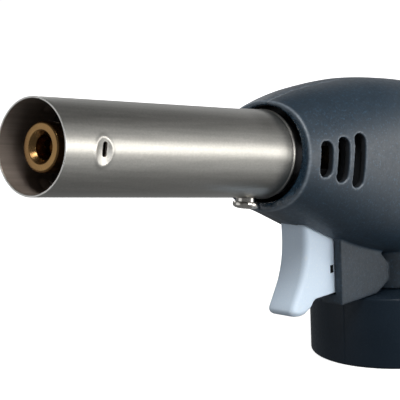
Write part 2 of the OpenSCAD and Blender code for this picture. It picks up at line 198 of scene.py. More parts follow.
def on_tube(d0=0.0, y0=0.0, h0=0.0):
    return lambda u, v, w: T(d0 + w, y0 + u, h0 + v)


def on_axis(x0=0.0, y0=0.0, z0=0.0):
    return lambda u, v, w: np.stack([x0 + u, y0 + v, z0 + w + 0 * u], -1)


def bar(name, p0, p1, r, n=48):
    """Plain cylinder from p0 to p1, used as a cutter or a post."""
    p0, p1 = Vector(p0), Vector(p1)
    ax = (p1 - p0).normalized()
    s = ax.orthogonal().normalized()
    t = ax.cross(s)
    rings = []
    for p in (p0, p1):
        rings.append([tuple(p + (s * math.cos(2 * math.pi * k / n) + t * math.sin(2 * math.pi * k / n)) * r) for k in range(n)])
    return loft(name, rings)


def cuboid(name, x0, x1, y0, y1, z0, z1, place=None):
    c = np.array([(x, y, z) for x in (x0, x1) for y in (y0, y1) for z in (z0, z1)], float)
    if place:
        c = place(c[:, 0], c[:, 1], c[:, 2])
    return add_mesh(name, c, [(0, 1, 3, 2), (4, 6, 7, 5), (0, 4, 5, 1), (2, 3, 7, 6), (0, 2, 6, 4), (1, 5, 7, 3)])


def prism(name, outline_xz, y0, y1, place=None):
    o = np.asarray(outline_xz, float)
    place = place or (lambda x, y, z: np.stack([x, y + 0 * x, z], -1))
    return loft(name, [place(o[:, 0], np.full(len(o), y), o[:, 1]) for y in (y0, y1)])


def finish(ob, body, slot, material, *nodes):
    ob.data.materials.clear()
    ob.data.materials.append(material)
    if nodes:
        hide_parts(*nodes)
    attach(ob, body)
    return ob


# ------------------------------------------------------------------ materials


class Nodes:
    """A short way to build a material's node tree."""

    def __init__(self, name):
        self.mat = bpy.data.materials.new(name)
        self.mat.use_nodes = True
        self.nt = self.mat.node_tree
        self.bsdf = self.nt.nodes["Principled BSDF"]
        self.x = -200

    def new(self, kind, **inputs):
        n = self.nt.nodes.new(kind)
        self.x -= 60
        n.location = (self.x, 0)
        for k, v in inputs.items():
            if hasattr(n, k):
                setattr(n, k, v)
        return n

    def link(self, a, b):
        self.nt.links.new(a, b)

    def coords(self, scale=(1, 1, 1), rotate=(0, 0, 0), shift=(0, 0, 0)):
        tc = self.new("ShaderNodeTexCoord")
        turn = self.new("ShaderNodeMapping")
        turn.inputs["Rotation"].default_value = rotate
        mp = self.new("ShaderNodeMapping")
        mp.inputs["Scale"].default_value = scale
        mp.inputs["Location"].default_value = shift
        self.link(tc.outputs["Object"], turn.inputs["Vector"])
        self.link(turn.outputs["Vector"], mp.inputs["Vector"])
        return mp.outputs["Vector"]

    def noise(self, vec, scale, detail=3, rough=0.5):
        n = self.new("ShaderNodeTexNoise")
        n.inputs["Scale"].default_value = scale
        n.inputs["Detail"].default_value = detail
        n.inputs["Roughness"].default_value = rough
        self.link(vec, n.inputs["Vector"])
        return n.outputs["Fac"]

    def voronoi(self, vec, scale):
        n = self.new("ShaderNodeTexVoronoi")
        n.inputs["Scale"].default_value = scale
        self.link(vec, n.inputs["Vector"])
        return n.outputs["Distance"]

    def ramp(self, fac, stops):
        n = self.new("ShaderNodeValToRGB")
        e = n.color_ramp.elements
        while len(e) < len(stops):
            e.new(0.5)
        for el, (p, c) in zip(e, stops):
            el.position = p
            el.color = (*c, 1) if len(c) == 3 else c
        self.link(fac, n.inputs["Fac"])
        return n.outputs["Color"]

    def span(self, fac, lo, hi, a=0.0, b=1.0):
        n = self.new("ShaderNodeMapRange")
        n.inputs["From Min"].default_value = a
        n.inputs["From Max"].default_value = b
        n.inputs["To Min"].default_value = lo
        n.inputs["To Max"].default_value = hi
        self.link(fac, n.inputs["Value"])
        return n.outputs["Result"]

    def math(self, op, a, b):
        n = self.new("ShaderNodeMath")
        n.operation = op
        for i, v in enumerate((a, b)):
            if isinstance(v, (int, float)):
                n.inputs[i].default_value = v
            else:
                self.link(v, n.inputs[i])
        return n.outputs["Value"]

    def mix(self, fac, a, b):
        n = self.new("ShaderNodeMix")
        n.data_type = "RGBA"
        if isinstance(fac, (int, float)):
            n.inputs["Factor"].default_value = fac
        else:
            self.link(fac, n.inputs["Factor"])
        for sock, v in ((n.inputs[6], a), (n.inputs[7], b)):
            if isinstance(v, tuple):
                sock.default_value = (*v, 1)
            else:
                self.link(v, sock)
        return n.outputs[2]

    def bump(self, height, strength, distance, normal=None):
        n = self.new("ShaderNodeBump")
        n.inputs["Strength"].default_value = strength
        n.inputs["Distance"].default_value = distance
        self.link(height, n.inputs["Height"])
        if normal is not None:
            self.link(normal, n.inputs["Normal"])
        return n.outputs["Normal"]

    def edges(self, lo=0.5, hi=0.62):
        g = self.new("ShaderNodeNewGeometry")
        return self.span(g.outputs["Pointiness"], 0, 1, lo, hi)

    def attribute(self, name):
        n = self.new("ShaderNodeAttribute")
        n.attribute_name = name
        s = self.new("ShaderNodeSeparateColor")
        self.link(n.outputs["Color"], s.inputs["Color"])
        return s.outputs["Red"], s.outputs["Green"], s.outputs["Blue"]

    def done(self, color, rough, normal=None, metallic=0.0, specular=0.5, **extra):
        b = self.bsdf
        for key, v in (("Base Color", color), ("Roughness", rough)):
            if isinstance(v, tuple):
                b.inputs[key].default_value = (*v, 1)
            elif isinstance(v, (int, float)):
                b.inputs[key].default_value = v
            else:
                self.link(v, b.inputs[key])
        b.inputs["Metallic"].default_value = metallic
        b.inputs["Specular IOR Level"].default_value = specular
        if normal is not None:
            self.link(normal, b.inputs["Normal"])
        for k, v in extra.items():
            b.inputs[k.replace("_", " ")].default_value = v
        return self.mat


def srgb(r, g, b):
    f = lambda c: c / 12.92 if c <= 0.04045 else ((c + 0.055) / 1.055) ** 2.4
    return tuple(f(c / 255) for c in (r, g, b))


def plastic(name, base, rough=0.45, grain=0.5, shine=0.5, edge=None, grain_scale=2600, tone=0.12):
    """Moulded plastic: a fine eroded grain, slow tone changes, and a painted highlight that lightens the sharp edges.
    """
    m = Nodes(name)
    v = m.coords()
    slow = m.noise(v, 45, 3)
    fine = m.noise(v, grain_scale, 2, 0.6)
    pits = m.noise(v, grain_scale * 0.45, 3, 0.65)
    dark = tuple(c * (1 - tone) for c in base)
    light = tuple(min(1, c * (1 + tone) + 0.002) for c in base)
    col = m.mix(m.span(slow, 0, 1, 0.3, 0.7), dark, light)
    speck = tuple(min(1, c * 1.35 + 0.006) for c in base)
    col = m.mix(m.span(fine, 0, 0.35, 0.56, 0.75), col, speck)
    # painted highlight: sharp edges, found by pointiness, are mixed toward the edge colour
    if edge:
        col = m.mix(m.span(m.edges(0.53, 0.64), 0, 0.55), col, edge)
    r = m.math("ADD", m.span(slow, -0.04, 0.04), m.span(pits, rough - 0.06, rough + 0.08, 0.35, 0.65))
    nrm = m.bump(pits, 0.35 * grain, 0.00012)
    nrm = m.bump(fine, 0.35 * grain, 0.00006, nrm)
    return m.done(col, r, nrm, 0.0, shine)


def housing_plastic(name, base, edge, painted_shade):
    """The housing's plastic: eroded grain, scuffing with a painted highlight on the marked edges, dull inside and
    darkened there and on the neck by painted shade.
    """
    m = Nodes(name)
    v = m.coords()
    wear_and_highlight, deep_shade, neck = m.attribute("wear_and_highlight")
    slow = m.noise(v, 40, 3)
    fine = m.noise(v, 1700, 2, 0.6)
    pits = m.noise(v, 950, 3, 0.65)
    mottle = m.noise(v, 330, 3, 0.6)
    scuff = m.noise(m.coords(scale=(300, 300, 900)), 1.0, 4, 0.7)
    col = m.mix(m.span(slow, 0, 1, 0.3, 0.7), tuple(c * 0.86 for c in base), tuple(c * 1.1 for c in base))
    col = m.mix(m.span(mottle, 0, 0.5, 0.45, 0.7), col, tuple(c * 1.5 + 0.003 for c in base))
    col = m.mix(m.span(fine, 0, 0.9, 0.56, 0.72), col, tuple(c * 3.0 + 0.012 for c in base))
    # marked edges mixed toward the edge colour: partly real scuffing, partly a painted highlight
    worn_highlight = m.math("MULTIPLY", wear_and_highlight, m.span(scuff, 0.5, 1.0, 0.35, 0.6))
    col = m.mix(worn_highlight, col, edge)
    # painted shade: the neck is mixed halfway toward the dark shade colour
    col = m.mix(m.math("MULTIPLY", neck, 0.5), col, painted_shade)
    # painted shade: points inside the skin, such as the vent walls and the interior, take the dark shade colour
    col = m.mix(deep_shade, col, painted_shade)
    r = m.math("ADD", m.span(slow, -0.03, 0.04), m.span(pits, 0.20, 0.30, 0.35, 0.65))
    r = m.math("ADD", r, m.math("MAXIMUM", m.math("MULTIPLY", deep_shade, 0.35), m.math("MULTIPLY", neck, 0.38)))
    nrm = m.bump(pits, 0.22, 0.00012)
    nrm = m.bump(fine, 0.28, 0.00006, nrm)
    return m.done(col, r, nrm, 0.0, 0.85)


def metal(name, base, rough=0.3, grain=0.4, tint=None, along=(400, 400, 400), spin=(0, 0, 0), scale=1.0, dirt=0.1, metallic=1.0, vary=1.0, satin=0.0):
    """Machined or drawn metal: streaks along one direction and a thin film of handling marks."""
    m = Nodes(name)
    v = m.coords(scale=along, rotate=spin)
    streak = m.noise(v, scale, 4, 0.6)
    v0 = m.coords()
    cloud = m.noise(v0, 90, 3)
    light = tuple(min(1, c * 1.06) for c in base)
    dark = tuple(c * (1 - dirt) for c in base)
    col = m.mix(m.span(streak, 0, 1, 0.35, 0.65), dark, light)
    if satin:
        dots = m.noise(m.coords(scale=(1500, 2600, 2600), rotate=spin), 1.0, 2, 0.6)
        col = m.mix(m.span(dots, 0, satin, 0.35, 0.68), col, tuple(c * 0.6 for c in base))
    if tint:
        col = m.mix(m.span(cloud, 0, 0.45, 0.45, 0.75), col, tint)
    r = m.math("ADD", m.span(streak, rough - 0.05 * vary, rough + 0.07 * vary, 0.3, 0.7), m.span(cloud, -0.04 * vary, 0.05 * vary))
    nrm = m.bump(streak, 0.25 * grain, 0.00003)
    return m.done(col, r, nrm, metallic, 0.5)


COL_HOUSING = srgb(21, 46, 63)
# the collar's colour is a darker copy of the housing blue: painted shade
COL_COLLAR_SHADED = srgb(24, 37, 49)
COL_TRIG = srgb(217, 234, 251)
M = {
    # the housing's edge colour is a painted highlight with scuffing; its last colour is the painted shade for the
    # inside and the neck
    "housing": housing_plastic("housing_plastic", COL_HOUSING, srgb(146, 158, 170), srgb(13, 21, 29)),
    # the edge colours here are painted highlights on sharp edges
    "cap": plastic("cap_plastic", COL_HOUSING, 0.42, 0.7, 0.5, edge=srgb(70, 82, 96)),
    "collar": plastic("collar_plastic", COL_COLLAR_SHADED, 0.42, 0.8, 0.25, edge=srgb(72, 80, 90)),
    "trigger": plastic("trigger_plastic", COL_TRIG, 0.36, 0.25, 0.5, edge=srgb(228, 238, 248), tone=0.03),
    "igniter": plastic("igniter_plastic", srgb(38, 38, 40), 0.3, 0.2, 0.5),
    "plunger": plastic("plunger_plastic", srgb(222, 220, 210), 0.4, 0.2, 0.5, tone=0.03),
    "rubber": plastic("seal_rubber", srgb(26, 26, 28), 0.6, 0.6, 0.3),
    "lead": plastic("lead_silicone", srgb(32, 32, 34), 0.5, 0.3, 0.4, tone=0.05),
    "ceramic": plastic("white_ceramic", srgb(236, 233, 222), 0.16, 0.1, 0.5, tone=0.02),
    "tube": metal("stainless_tube", (0.46, 0.447, 0.415), 0.325, 0.03, along=(55, 1100, 1100), spin=(0, -TILT, 0), dirt=0.07, vary=0.3, satin=0.3),
    "tube_in": metal("stainless_heat", (0.30, 0.25, 0.215), 0.55, 0.5, tint=(0.17, 0.125, 0.10), along=(30, 1500, 1500), spin=(0, -TILT, 0), dirt=0.2, metallic=0.45),
    "screw": metal("zinc_screw", (0.74, 0.71, 0.66), 0.13, 0.3, along=(700, 700, 700), dirt=0.2),
    # painted highlight: a brighter steel kept for the mouth's rim faces
    "tube_rim_highlight": metal("stainless_edge_highlight", (0.80, 0.785, 0.75), 0.30, 0.3, along=(900, 900, 900), dirt=0.1),
    "zinc": metal("zinc_steel", (0.66, 0.64, 0.60), 0.22, 0.5, along=(900, 900, 900), dirt=0.12),
    "dark_steel": metal("dark_steel", (0.16, 0.15, 0.145), 0.45, 0.6, tint=(0.10, 0.10, 0.16), along=(700, 700, 700), dirt=0.3),
    "brass": metal("brass", (0.62, 0.43, 0.18), 0.24, 0.5, tint=(0.45, 0.28, 0.12), along=(1200, 1200, 1200), dirt=0.15),
    "burner_brass": metal("burner_brass", (0.34, 0.20, 0.08), 0.24, 0.2, tint=(0.19, 0.10, 0.045), along=(300, 300, 300), dirt=0.2),
    "bronze": metal("sintered_bronze", (0.42, 0.31, 0.18), 0.55, 1.2, along=(3000, 3000, 3000), dirt=0.4),
    "cast": metal("diecast_zinc", (0.06, 0.06, 0.064), 0.55, 1.0, along=(900, 900, 900), dirt=0.2),
}

# ------------------------------------------------------------------ housing, built from the CAD's own stations
STATIONS = np.array([
    [78.7, 13.4, 14.4, 14.9], [84, 15.2, 15.7, 16.3], [90, 16.9, 17.5, 17.4],
    [96, 18.2, 19.3, 18.4], [104, 19.7, 21.6, 19.4], [113, 21.0, 23.6, 20.1],
    [122, 21.6, 25.0, 20.4], [131, 21.6, 26.0, 20.3], [140, 20.8, 26.1, 19.6],
    [147, 19.2, 24.9, 18.4], [153, 17.2, 22.2, 16.9], [159, 15.1, 17.8, 15.1],
    [163.6, 13.6, 14.0, 13.6]])
RIM_D, BACK_D, WALL, HOLE_R, KNOB_HOLE_R = 78.7, 163.6, 2.0, 12.3, 9.3


def val(d, k):
    s = STATIONS
    i = int(np.clip(np.searchsorted(s[:, 0], d, side="right") - 1, 0, len(s) - 2))

    def slope(j):
        a, b = max(j - 1, 0), min(j + 1, len(s) - 1)
        return (s[b, k] - s[a, k]) / (s[b, 0] - s[a, 0])
    w = s[i + 1, 0] - s[i, 0]
    t = (d - s[i, 0]) / w
    return ((2 * t**3 - 3 * t * t + 1) * s[i, k] + (t**3 - 2 * t * t + t) * slope(i) * w
            + (3 * t * t - 2 * t**3) * s[i + 1, k] + (t**3 - t * t) * slope(i + 1) * w)


def expo(d):
    return 2.15 + 0.45 * min(1, max(0, (d - 80) / 30)) - 0.5 * min(1, max(0, (d - 146) / 17))


def outline(d, a, t):
    c = -0.8
    w = val(d, 3) - t
    n = expo(d)
    hh = np.where(a >= 0, val(d, 1) - c - t, val(d, 2) + c - t)
    ca, sa = np.clip(np.cos(a), 0, None), np.sin(a)
    ca = np.where(ca < 1e-9, 0, ca)
    return w * ca ** (2 / n), c + np.sign(sa) * hh * np.abs(sa) ** (2 / n)


ARC = 72
ANG = np.linspace(math.pi / 2, -math.pi / 2, ARC + 1)


def shell_half(name, s):
    """Half of the hollow housing, from the seam round to the seam."""
    rings = []
    edge = 0.35
    front = [(RIM_D, "hole", edge), (RIM_D + 0.1, "hole", 0.12), (RIM_D + 0.35, "hole", 0.0), (80.6, "hole", 0.0)]
    mid = [(d, "in", 0.0) for d in np.arange(81.0, 160.9, 0.9)]
    back = [(161.2, "knob", 0.0), (162.4, "knob", 0.0), (162.9, "knob", 0.06), (163.3, "knob", 0.25), (BACK_D, "knob", 0.8)]
    for d, kind, inset in front + mid + back:
        w, h = outline(d, ANG, inset)
        if kind == "in":
            wi, hi = outline(d, ANG, WALL)
        else:
            r = HOLE_R if kind == "hole" else KNOB_HOLE_R
            wi, hi = r * np.clip(np.cos(ANG), 0, None), r * np.sin(ANG)
        wi[0] = wi[-1] = w[0] = w[-1] = 0
        y = np.concatenate([w, wi[::-1]]) * s
        z = np.concatenate([h, hi[::-1]])
        rings.append(T(np.full(len(y), d), y, z))
    verts = np.concatenate(rings)
    m, n = len(rings[0]), len(rings)
    faces = []
    for i in range(n - 1):
        for k in range(m):
            a, b, c, e = i * m + k, i * m + (k + 1) % m, (i + 1) * m + (k + 1) % m, (i + 1) * m + k
            faces.append((a, b, c, e))
    for o in (0, (n - 1) * m):
        for j in range(ARC):
            faces.append((o + j, o + j + 1, o + m - 2 - j, o + m - 1 - j))
    return add_mesh(name, verts, faces)


def core_half(name, s, t):
    rings = []
    for d in np.arange(79.5, 163.0, 2.0):
        w, h = outline(d, ANG, t)
        w[0] = w[-1] = 0
        rings.append(T(np.full(len(w), d), w * s, h))
    return loft(name, rings)


def tp(d, h):
    return (-MOUTH_X + d * CT + h * ST, MOUTH_Z - d * ST + h * CT)


POSTS = [tp(90, 11.6), tp(151, 12.6), tp(147, -17)]
NECK_POST = (-17, 25.6)
NECK = [(-34, 19.8), (-18.2, 19.8), (-13, 22.2), (-13, 27.3), (-16.2, 30.6), (-13, 31.8), (-13, 33.4), (-34, 39.4)]
NECK_W = 7.0
VENTS = [(84.3 + 5.5 * i, 9 + 2.35 * i) for i in range(3)]


def slot_outline(d, length, width, n=14):
    r = width / 2
    e = (length - width) / 2
    pts = [(d + r * math.cos(a), e + r * math.sin(a)) for a in np.linspace(0, math.pi, n)]
    pts += [(d + r * math.cos(a), -e + r * math.sin(a)) for a in np.linspace(math.pi, 2 * math.pi, n)]
    return pts


def mark_highlight_and_shade(ob):
    """Red: a painted highlight with scuffing, where an edge would catch light. Green: painted shade, by how far a point
    lies inside the skin. Blue: the neck, whose grain is coarser and which gets painted shade.
    """
    me = ob.data
    co = np.empty(len(me.vertices) * 3, np.float32)
    me.vertices.foreach_get("co", co)
    co = co.reshape(-1, 3) / MM
    x, y, z = co[:, 0] + MOUTH_X, co[:, 1], co[:, 2] - MOUTH_Z
    d, h = x * CT - z * ST, x * ST + z * CT
    grid = np.arange(78.0, 164.6, 0.25)
    tab = np.array([[val(min(max(q, RIM_D), BACK_D), k) for k in (1, 2, 3)] + [expo(q)] for q in grid])
    dn, wd, up_, n = (np.interp(d, grid, tab[:, k]) for k in (1, 2, 0, 3))
    hh = np.where(h >= -0.8, up_ + 0.8, dn - 0.8)
    rho = ((np.abs(y) / wd) ** n + (np.abs(h + 0.8) / hh) ** n) ** (1 / n)
    skin = (1 - rho) * np.hypot(y, h + 0.8) / np.maximum(rho, 1e-3)
    inside_len = (d > RIM_D - 0.5) & (d < BACK_D + 0.5)
    # painted shade mask: rises with depth inside the skin, faded out at the rim and the back
    deep_shade = np.clip((skin - 0.22) / 0.4, 0, 1) * np.clip((d - RIM_D - 0.35) / 0.5, 0, 1) * np.clip((BACK_D - 0.4 - d) / 0.5, 0, 1)
    deep_shade = np.where(inside_len & (rho < 1), deep_shade, 0)
    # edge marks for scuffing and a painted highlight: the vent edges, the rim and the seam
    wear_and_highlight = np.zeros(len(d))
    outer = np.clip(1 - np.abs(skin) / 0.5, 0, 1)
    for c, length in VENTS:
        e = (length - 3.8) / 2
        dist = np.hypot(d - c, np.maximum(np.abs(h) - e, 0)) - 1.9
        wear_and_highlight = np.maximum(wear_and_highlight, 0.75 * np.exp(-((dist - 0.12) / 0.26) ** 2) * outer)
    wear_and_highlight = np.maximum(wear_and_highlight, np.exp(-((d - RIM_D - 0.25) / 0.35) ** 2) * np.clip(1 - np.abs(skin - 0.15) / 0.5, 0, 1))
    wear_and_highlight = np.maximum(wear_and_highlight, 0.95 * np.exp(-(np.abs(y) / 0.5) ** 2) * outer * np.clip((135 - d) / 40, 0, 1))
    wear_and_highlight = np.where(inside_len, wear_and_highlight, 0)
    # neck mask: made rougher, and mixed halfway toward the painted shade colour
    neck = np.clip((44 - z) / 2, 0, 1) * np.clip((0.92 - rho) * -8, 0, 1)
    att = me.color_attributes.new("wear_and_highlight", "FLOAT_COLOR", "POINT")
    buf = np.zeros((len(d), 4), np.float32)
    buf[:, 0], buf[:, 1], buf[:, 2], buf[:, 3] = wear_and_highlight, deep_shade, neck, 1
    att.data.foreach_set("color", buf.ravel())


def housing_half(name, s):
    lo, hi = (0.0, 1.0) if s > 0 else (-1.0, 0.0)
    ob = shell_half(name, s)
    # cradles and posts, trimmed to the skin
    ribs = None
    for d in (98.6, 104.6, 118, 143.5):
        r = cuboid("rib", d, d + 1.8, 24 * lo, 24 * hi, -11.6, 24.4, place=T)
        ribs = r if ribs is None else boolean(ribs, r, "UNION")
    boolean(ribs, bar("bore", T(97, 0, 0), T(107, 0, 0), 9.2, 96))
    boolean(ribs, bar("bore", T(103, 0, 0), T(152, 0, 0), 8.3, 96))
    for x, z in POSTS:
        boolean(ribs, bar("post", (x, 24 * lo, z), (x, 24 * hi, z), 3.6, 64), "UNION")
    boolean(ribs, core_half("core", s, 0.7), "INTERSECT")
    boolean(ob, ribs, "UNION")
    boolean(ob, prism("neck", NECK, NECK_W * lo, NECK_W * hi), "UNION")
    n = 96
    ped = loft("pedestal", [[(14 * math.cos(a), 14 * math.sin(a) * (1 if s > 0 else 1), z)
                             for a in np.linspace(0, 2 * math.pi, n, endpoint=False)] for z in (19.8, 30.2)])
    boolean(ped, cuboid("half", -20, 20, 20 * lo, 20 * hi, 18, 32), "INTERSECT")
    boolean(ob, ped, "UNION")
    boolean(ob, cuboid("cut", -32.2, -14.8, -5.2, 5.2, 22.3, 40.6))
    boolean(ob, cuboid("cut", -45.9, -31, -4.75, 4.75, 22.3, 47))
    boolean(ob, bar("cut", (0, 0, 19), (0, 0, 24), 10.3, 96))
    boolean(ob, bar("cut", (0, 0, 22.5), (0, 0, 31.5), 12.3, 96))
    for d, length in VENTS:
        y0, y1 = (8, 24) if s > 0 else (-24, -8)
        boolean(ob, prism("vent", slot_outline(d, length, 3.8), y0, y1, place=T))
    x, z = NECK_POST
    boolean(ob, bar("post", (x, 5.6 * lo, z), (x, 5.6 * hi, z), 2.4, 48), "UNION")
    boolean(ob, cuboid("ledge", -27.7, -16.6, 2 if s > 0 else -5.6, 5.6 if s > 0 else -2, 28.2, 29.8), "UNION")
    if s < 0:
        # webs that close the slit between the neck and the waist
        for box in ((-16.6, -12.9, 27.6, 29.85), (-15.1, -12.9, 29.5, 31.4), (-17, -12.9, 19.8, 22.3)):
            boolean(ob, cuboid("web", box[0], box[1], -1.3, 0, box[2], box[3]), "UNION")
    for x, z in POSTS + [NECK_POST]:
        if s > 0:
            boolean(ob, bar("bore", (x, 3.5, z), (x, 26, z), 2.05 if (x, z) == NECK_POST else 2.6, 48))
            boolean(ob, bar("bore", (x, -1, z), (x, 8, z), 1.4, 32))
        else:
            boolean(ob, bar("bore", (x, -6.2, z), (x, 1, z), 1.2, 32))
    # one pass that rounds every moulded edge by about half a millimetre
    m = ob.modifiers.new("remesh", "REMESH")
    m.mode = "VOXEL"
    m.voxel_size = 0.30 * MM
    bake(ob)
    m = ob.modifiers.new("soft", "SMOOTH")
    m.factor, m.iterations = 0.5, 8
    bake(ob)
    shade(ob, 180)
    mark_highlight_and_shade(ob)
    return ob


for s, node in ((-1, "housing_right"), (1, "housing_left")):
    ob = housing_half(node + "_moulded", s)
    finish(ob, "housing", "housing_plastic", M["housing"], node)
    print(node, len(ob.data.vertices))

# ------------------------------------------------------------------ trigger: a moulded lever with a dished front
TRIG = [(-45.3, 44), (-45.2, 38.7), (-45.35, 35.5), (-46, 32.2), (-47.3, 28.6), (-49.4, 25), (-51.1, 22.2),
        (-51.35, 21), (-50.8, 20.1), (-49.2, 19.5), (-46.6, 19.3), (-44.8, 19.8), (-43.4, 20.9), (-42.5, 22.3), (-41.6, 22.8)]


def smooth_path(points, steps=8):
    """A curve through the points (Catmull-Rom)."""
    p = [np.array(q, float) for q in points]
    out = []
    for i in range(len(p) - 1):
        a, b, c, d = p[max(i - 1, 0)], p[i], p[i + 1], p[min(i + 2, len(p) - 1)]
        for k in range(steps):
            t = k / steps
            out.append(0.5 * ((2 * b) + (c - a) * t + (2 * a - 5 * b + 4 * c - d) * t * t + (3 * b - a - 3 * c + d) * t**3))
    out.append(p[-1])
    return np.array(out)


def inset_path(p, nrm, amount):
    """The outline moved inwards, with the loops that form where it is tighter than the inset drawn together."""
    q = p + nrm * amount[:, None]
    nxt = np.roll(p, -1, 0)
    seg = nxt - p
    ln = (seg ** 2).sum(1) + 1e-12
    bad = np.zeros(len(p), bool)
    for i in range(len(p)):
        t = np.clip(((q[i] - p) * seg).sum(1) / ln, 0, 1)
        dist = np.linalg.norm(q[i] - (p + seg * t[:, None]), axis=1).min()
        bad[i] = dist < amount[i] - 0.03
    n = len(p)
    if bad.all() or not bad.any():
        return q
    start = int(np.argmin(bad))
    i = start
    while i < start + n:
        if bad[i % n]:
            j = i
            while bad[j % n]:
                j += 1
            mid = (q[(i - 1) % n] + q[j % n]) / 2
            for k in range(i, j):
                q[k % n] = mid + (q[(i - 1) % n] - mid) * 0.02 * (j - k) / (j - i)
            i = j
        i += 1
    return q


def rounded_slab(name, path, radii, half_w, seg=8):
    """An outline in X and Z, as thick as 2*half_w, whose edges are rounded by each point's own radius."""
    p = np.asarray(path, float)
    r = np.asarray(radii, float)
    nxt, prv = np.roll(p, -1, 0), np.roll(p, 1, 0)
    a = p - prv
    b = nxt - p
    a /= np.linalg.norm(a, axis=1)[:, None] + 1e-12
    b /= np.linalg.norm(b, axis=1)[:, None] + 1e-12
    area = 0.5 * np.sum(p[:, 0] * nxt[:, 1] - nxt[:, 0] * p[:, 1])
    sign = 1 if area > 0 else -1
    na = np.stack([-a[:, 1], a[:, 0]], 1) * sign
    nb = np.stack([-b[:, 1], b[:, 0]], 1) * sign
    nrm = (na + nb) / (1 + (na * nb).sum(1))[:, None]
    rings = []
    for k in range(seg + 1):
        f = k / seg * math.pi / 2
        q = inset_path(p, nrm, r * (1 - math.sin(f)))
        y = half_w - r + r * math.cos(f)
        rings.append(np.stack([q[:, 0], -y, q[:, 1]], 1))
    rings = rings + [np.stack([q[:, 0], -q[:, 1], q[:, 2]], 1) for q in rings[::-1]]
    return loft(name, rings, smooth=50)


front = smooth_path(TRIG, 6)
rest = [(-28, 22.8), (-28, 27.4), (-33.2, 27.4), (-33.2, 41), (-38, 44)]
path, radii = [], []
for q in front:
    path.append(q)
    # the front face has soft corners, the block behind it crisp ones
    back = min(1, max(0, (q[0] + 44.5) / 2.2)) if q[1] < 23.5 else 0
    radii.append(1.6 * (1 - back) + 0.45 * back)
for q in rest:
    path.append(np.array(q, float))
    radii.append(0.35)
trig = rounded_slab("trigger_moulded", path, radii, 4.4)
boolean(trig, cuboid("cut", -38.9, -30, -3.45, 3.45, 29.3, 40.2))
for s in (-1, 1):
    boolean(trig, cuboid("notch", -35.35, -34.05, s * 4.4 - 1.6, s * 4.4 + 1.6, 28.45, 30.55))
shade(trig, 40)
trig.modifiers.new("normals", "WEIGHTED_NORMAL").keep_sharp = True
finish(trig, "trigger", "trigger_plastic", M["trigger"], "trigger")
trig.data.materials.append(M["igniter"])
# painted shade: the notch's walls take the dark igniter plastic
for f in trig.data.polygons:
    x, y, z = f.center / MM
    if -35.4 < x < -34 and 28.4 < z < 30.6 and abs(y) > 2.7 and (abs(f.normal.y) < 0.5 or abs(y) < 4.2):
        f.material_index = 1

# ------------------------------------------------------------------ collar
collar_out = [(21, 0), (24.19, 0), (24.19, 19.5), (10, 19.5), (10, 22.9), (12, 22.9), (12, 24.9), (7.5, 24.9),
              (7.5, 13.4), (19, 13.4), (19, 6), (21, 6)]
collar_prof = fillet(collar_out, [0.4, 0.7, 0.7, 0.3, 0.2, 0.3, 0.3, 0.3, 0.3, 0.5, 0.3, 0.2], 5)


def collar_radius(r, z, a):
    """A fine parting line at the front and the back of the collar."""
    off = abs(math.remainder(a - math.pi, math.pi)) * 24.2
    dip = 0.09 * math.exp(-(off / 0.16) ** 2)
    return np.where((r > 24.0), r - dip, r)


angles = []
n_col = 240
base_a = np.linspace(0, 2 * math.pi, n_col, endpoint=False)
extra = np.concatenate([np.array([-0.02, -0.013, -0.008, -0.004, 0.004, 0.008, 0.013, 0.02]) + c for c in (0, math.pi)])
all_a = np.sort(np.unique(np.round(np.mod(np.concatenate([base_a, extra]), 2 * math.pi), 6)))
rings = []
for a in all_a:
    r = collar_radius(collar_prof[:, 0].copy(), collar_prof[:, 1], a)
    rings.append(np.stack([r * math.cos(a), r * math.sin(a), collar_prof[:, 1]], -1))
collar = loft("base_collar_moulded", rings, wrap=True, smooth=40)
for a in (60, 180, 300):
    a = math.radians(a)
    x, y = 16.4 * math.cos(a), 16.4 * math.sin(a)
    post = bar("post", (x, y, 7.6), (x, y, 13.6), 2.5, 40)
    boolean(post, bar("bore", (x, y, 6), (x, y, 12.1), 1.0, 24))
    boolean(collar, post, "UNION")
shade(collar, 40)
finish(collar, "housing", "collar_plastic", M["collar"], "base_collar")

# ------------------------------------------------------------------ burner tube with pressed dimples
TUBE_L, RO, RI = 78.2, 11.0, 10.5


def dent(d, off):
    """Depth of a pressed dimple, off being the distance round the tube from its centre; a low lip surrounds it."""
    q = math.hypot((d - 11.55) / 2.5, off / 3.2)
    bowl = 0.66 * (1 - q * q) ** 1.3 if q < 1 else 0.0
    return bowl - 0.08 * math.exp(-((q - 1.05) / 0.17) ** 2)


ds = np.unique(np.round(np.concatenate([
    np.arange(0.35, 7.5, 0.9), np.arange(7.6, 15.2, 0.22), np.arange(15.6, TUBE_L - 1.6, 2.2)]), 4))
prof_o = [(RO - 0.13, 0.0), (RO - 0.035, 0.05), (RO, 0.16)] + [(RO + 0.12 * min(1, max(0, (d - 69) / 0.6)), d) for d in ds] + [
    (RO + 0.12, TUBE_L - 1.2), (RO + 0.14, TUBE_L - 1.05), (RO + 0.22, TUBE_L - 0.9), (RO + 0.3, TUBE_L - 0.65), (RO + 0.3, TUBE_L - 0.4),
    (RO + 0.22, TUBE_L - 0.16), (RO + 0.05, TUBE_L)]
prof_i = [(RI, TUBE_L)] + [(RI, d) for d in ds[::-1]] + [(RI, 0.18), (RI + 0.04, 0.06), (RI + 0.16, 0.0)]
prof = np.array(prof_o + prof_i)
th = []
for k in range(180):
    th.append(2 * math.pi * k / 180)
for c in (math.pi, math.pi + 2 * math.pi / 3, math.pi - 2 * math.pi / 3):
    th += list(c + np.arange(-4.3, 4.31, 0.2) / 11.0)
th = np.sort(np.mod(th, 2 * math.pi))
th = th[np.diff(th, append=th[0] + 2 * math.pi) > 0.007]
rings = []
